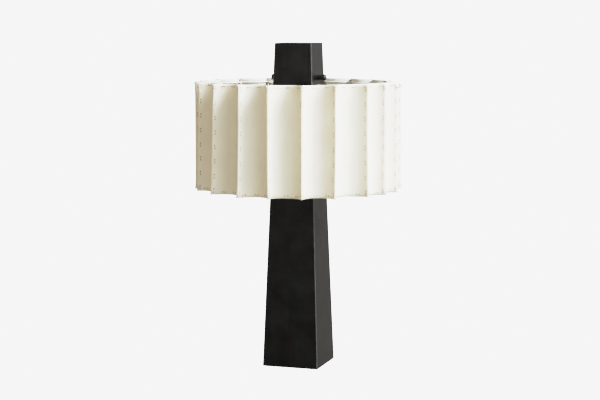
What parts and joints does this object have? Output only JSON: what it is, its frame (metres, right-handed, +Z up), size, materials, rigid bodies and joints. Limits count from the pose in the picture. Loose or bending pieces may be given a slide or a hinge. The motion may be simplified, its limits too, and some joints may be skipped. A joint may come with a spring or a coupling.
{
  "type": "table lamp",
  "caption": "Table lamp with a tapered square steel column, a fluted stitched parchment drum shade and a square cap above it, held by thumb screws.",
  "frame": {"origin": "centre of the foot, on the surface that the lamp stands on", "axes": "+Z up the column's axis; the column's broad front face looks along -Y and the thumb screws lie along X"},
  "size_m": [0.4556, 0.4557, 0.711],
  "materials": {
    "black_steel": "satin black patina, slightly mottled, with worn bright edges",
    "black_knob": "satin black",
    "zinc_steel": "dull zinc plate",
    "ballast_iron": "rough casting",
    "brass": "satin",
    "bulb_metal": "rolled, bright",
    "opal_glass": "opal",
    "black_insulator": "glossy",
    "porcelain": "glazed",
    "fibre_sleeve": "pressed fibre",
    "white_wire": "cream powder coat",
    "parchment": "matt cream parchment, hand stitched",
    "felt": "black felt",
    "black_rubber": "matt"
  },
  "bodies": {
    "stand": {"felt_pad": "felt", "base_plate": "black_steel", "base_screws": "zinc_steel", "corner_tabs": "black_steel", "ballast_block": "ballast_iron", "ballast_screws": "zinc_steel", "column_shell": "black_steel", "cord_grommet": "black_rubber", "column_deck": "black_steel", "nipple": "zinc_steel", "nipple_nuts": "brass", "lock_washer": "zinc_steel", "harp_saddle": "brass", "harp_ferrules": "brass", "harp_bow": "brass", "harp_stud": "brass", "socket_cap": "brass", "socket_shell": "brass", "socket_liner": "fibre_sleeve", "socket_body": "porcelain", "socket_screw_shell": "brass", "socket_contact": "brass", "bulb_glass": "opal_glass", "bulb_base": "bulb_metal", "bulb_insulator": "black_insulator", "bulb_contact": "bulb_metal", "spacer_collar": "zinc_steel", "cap_seat": "black_steel", "clamp_strap": "zinc_steel", "strap_washer": "zinc_steel", "strap_nut": "brass"},
    "shade": {"spider_hub": "white_wire", "spider_arms": "white_wire", "shade_top_ring": "white_wire", "shade_bottom_ring": "white_wire", "shade_uprights": "white_wire", "shade_panels": "parchment"},
    "cap": {"cap_shell": "black_steel", "cap_top": "black_steel", "weld_nuts": "zinc_steel"},
    "right_pad_body": {"right_pad": "brass"},
    "right_screw": {"right_thumb_screw": "black_knob"},
    "left_pad_body": {"left_pad": "brass"},
    "left_screw": {"left_thumb_screw": "black_knob"}
  },
  "joints": [
    {"name": "shade_turn", "type": "hinge", "parent": "stand", "child": "shade", "pos_m": [0, 0, 0.615], "axis": [0, 0, 1], "continuous": true},
    {"name": "cap_lift", "type": "slide", "parent": "stand", "child": "cap", "axis": [0, 0, 1], "range_m": [0, 0.05]},
    {"name": "right_pad_travel", "type": "slide", "parent": "cap", "child": "right_pad_body", "axis": [1, 0, 0], "range_m": [0, 0.002]},
    {"name": "right_screw_turn", "type": "hinge", "parent": "right_pad_body", "child": "right_screw", "pos_m": [0.04, 0, 0.636], "axis": [1, 0, 0], "range_deg": [0, 900]},
    {"name": "left_pad_travel", "type": "slide", "parent": "cap", "child": "left_pad_body", "axis": [-1, 0, 0], "range_m": [0, 0.002]},
    {"name": "left_screw_turn", "type": "hinge", "parent": "left_pad_body", "child": "left_screw", "pos_m": [-0.04, 0, 0.636], "axis": [-1, 0, 0], "range_deg": [0, 900]}
  ],
  "couplings": [
    {"joint": "right_screw_turn", "follows": "right_pad_travel", "rad_per_m": 7854},
    {"joint": "left_screw_turn", "follows": "left_pad_travel", "rad_per_m": 7854}
  ]
}
